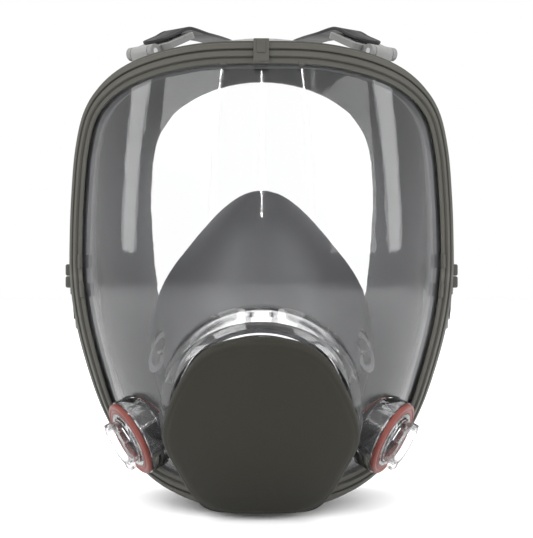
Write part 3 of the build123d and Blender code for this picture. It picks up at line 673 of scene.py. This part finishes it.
def strap_part(pin, run, across, route):
    """Strap mesh, and the points where it stops following its buckle and where it lies still."""
    wide, along, away = buckle_axes(run, across)
    level = BUCKLE_THICKNESS / 2 + STRAP_CLEARANCE + STRAP_THICKNESS / 2
    stations = [(pin + along * y + away * level, wide) for y in STRAP_ON_BUCKLE] + route
    spots = []
    for k in range(len(stations) - 1):
        pick = [stations[min(max(k + step, 0), len(stations) - 1)] for step in (-1, 0, 1, 2)]
        for n in range(STRAP_STEPS):
            t = n / STRAP_STEPS
            spots.append((spline(*[p[0] for p in pick], t), pick[1][1].lerp(pick[2][1], t)))
    spots.append(stations[-1])
    rings = []
    for k, (centre, side) in enumerate(spots):
        before, after = spots[max(k - 1, 0)][0], spots[min(k + 1, len(spots) - 1)][0]
        ahead = (after - before).normalized()
        side = (side - ahead * side.dot(ahead)).normalized()
        up = side.cross(ahead)
        end = min(k, len(spots) - 1 - k)
        half = STRAP_WIDTH / 2
        if end < TAPER_RINGS:
            half *= sqrt(min(1.0, (end + TAPER_START) / TAPER_RINGS))
        rings.append([centre + side * a * half + up * b * STRAP_THICKNESS for a, b in STRAP_SECTION])
    hold = pin + along * STRAP_HOLD
    turn = route[0][0] + (route[1][0] - route[0][0]) * 0.5
    return skin(rings), hold, turn


for level, pin, run, across, route in (("upper", UPPER_PIN, UPPER_RUN, UPPER_ACROSS, UPPER_ROUTE),
                                       ("lower", LOWER_PIN, LOWER_RUN, LOWER_ACROSS, LOWER_ROUTE)):
    part, hold, turn = strap_part(pin, run, across, route)
    for side in ("right", "left"):
        points, faces = part if side == "right" else flip_x(part)
        strap = piece(f"strap_band_{level}_{side}", points, faces, strap_mat, None, sharp=45)
        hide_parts(f"strap_{level}_{side}")
        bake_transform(strap)


def pad_ring(length, depth, corner, height, steps=10):
    ring = []
    for quarter, (sx, sy) in enumerate(((1, 1), (-1, 1), (-1, -1), (1, -1))):
        for k in range(steps + 1):
            angle = pi / 2 * (quarter + k / steps)
            x = sx * (length / 2 - corner) + corner * cos(angle)
            y = sy * (depth / 2 - corner) + corner * sin(angle)
            ring.append(CROWN_CENTRE + Vector((x, y, height)))
    return ring


pad_rings = [pad_ring(75.0, 47.0, 11.5, -1.3), pad_ring(76.0, 48.0, 12.0, -0.8),
             pad_ring(76.0, 48.0, 12.0, 0.8),
             pad_ring(75.0, 47.0, 11.5, 1.3), pad_ring(70.0, 42.0, 10.0, 1.3), pad_ring(69.4, 41.4, 9.7, 0.9),
             pad_ring(67.6, 39.6, 9.2, 0.9), pad_ring(67.0, 39.0, 9.0, 1.3), pad_ring(30.0, 22.0, 7.5, 1.3),
             pad_ring(24.6, 16.6, 6.2, 1.3), pad_ring(24.0, 16.0, 6.0, 0.8), pad_ring(24.0, 16.0, 6.0, -0.8),
             pad_ring(24.6, 16.6, 6.2, -1.3)]
points, faces = skin(pad_rings, ends="loop")
piece("crown_pad_moulding", points, faces, strap_mat, "facepiece", ["crown_pad"], sharp=45)

# ---------------------------------------------------------------- CAD nodes that keep their shape
finishes = {
    "lens": lens_mat, "centre_adapter": port_mat, "frame_screws": steel_mat, "frame_nuts": steel_mat,
    "buckle_pins": steel_mat, "inhalation_port": port_mat, "nose_valve_seat": seat_mat,
    "buckle_lug_upper": lug_painted_highlight_mat, "buckle_lug_lower": lug_painted_highlight_mat, "buckle_upper": buckle_painted_highlight_mat,
    "buckle_lower": buckle_painted_highlight_mat,
}
for node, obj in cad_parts.items():
    mat = finishes.get(node) or finishes.get(node.rsplit("_", 1)[0])
    if mat:
        for holder in obj.material_slots:
            holder.material = mat
for node in ("lens", "centre_adapter", "inhalation_port_right", "inhalation_port_left"):
    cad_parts[node].visible_shadow = False

# ---------------------------------------------------------------- floor, lights, camera
floor_mat = surface("studio_floor", (0.93, 0.93, 0.93), 0.8, grain=90, bump=0.02, shade=0.01)
floor_height = CAD_BOX[0][2] - 0.002
mesh = bpy.data.meshes.new("floor")
floor_corners = [(x, y, floor_height) for x, y in ((-3, -2), (3, -2), (3, 4), (-3, 4))]
mesh.from_pydata(floor_corners, [], [(0, 1, 2, 3)])
mesh.materials.append(floor_mat)
floor = bpy.data.objects.new("floor", mesh)
bpy.context.scene.collection.objects.link(floor)

world = bpy.data.worlds.new("studio")
world.use_nodes = True
world.node_tree.nodes["Background"].inputs["Color"].default_value = (1, 1, 1, 1)
world.node_tree.nodes["Background"].inputs["Strength"].default_value = 1.0
bpy.context.scene.world = world
bpy.context.scene.view_settings.view_transform = "Standard"


def area_light(name, place, target, size, size_y, watts, mirrored=True):
    data = bpy.data.lights.new(name, "AREA")
    data.shape = "RECTANGLE"
    data.size = size
    data.size_y = size_y
    data.energy = watts
    light = bpy.data.objects.new(name, data)
    light.location = place
    light.visible_glossy = mirrored
    light.rotation_euler = (Vector(target) - Vector(place)).to_track_quat("-Z", "Y").to_euler()
    bpy.context.scene.collection.objects.link(light)


area_light("key", (-0.9, -0.9, 0.9), (0, 0, 0), 0.8, 0.8, 12, False)
area_light("fill", (1.0, -0.8, 0.5), (0, 0, 0), 0.7, 0.9, 8, False)
area_light("left_strip", (-1.1, -0.25, 0.75), (0, -0.05, 0), 0.24, 1.6, 5)
area_light("right_strip", (1.1, -0.25, 0.75), (0, -0.05, 0), 0.24, 1.6, 5)
for turn in (-27, 0, 27):
    spot = (2.0 * sin(radians(turn)), -2.0 * cos(radians(turn)), 1.15)
    area_light(f"tube_{turn}", spot, (0, -0.09, 0.08), 0.014, 1.5, 7)
area_light("floor_wash", (0, 0.6, 1.6), (0, 0.6, 0), 2.0, 2.0, 30, False)

camera_data = bpy.data.cameras.new("camera")
camera_data.lens = CAMERA_LENS
camera = bpy.data.objects.new("camera", camera_data)
camera.location = CAMERA_PLACE
camera.rotation_euler = (pi / 2, 0, 0)
bpy.context.scene.collection.objects.link(camera)
bpy.context.scene.camera = camera
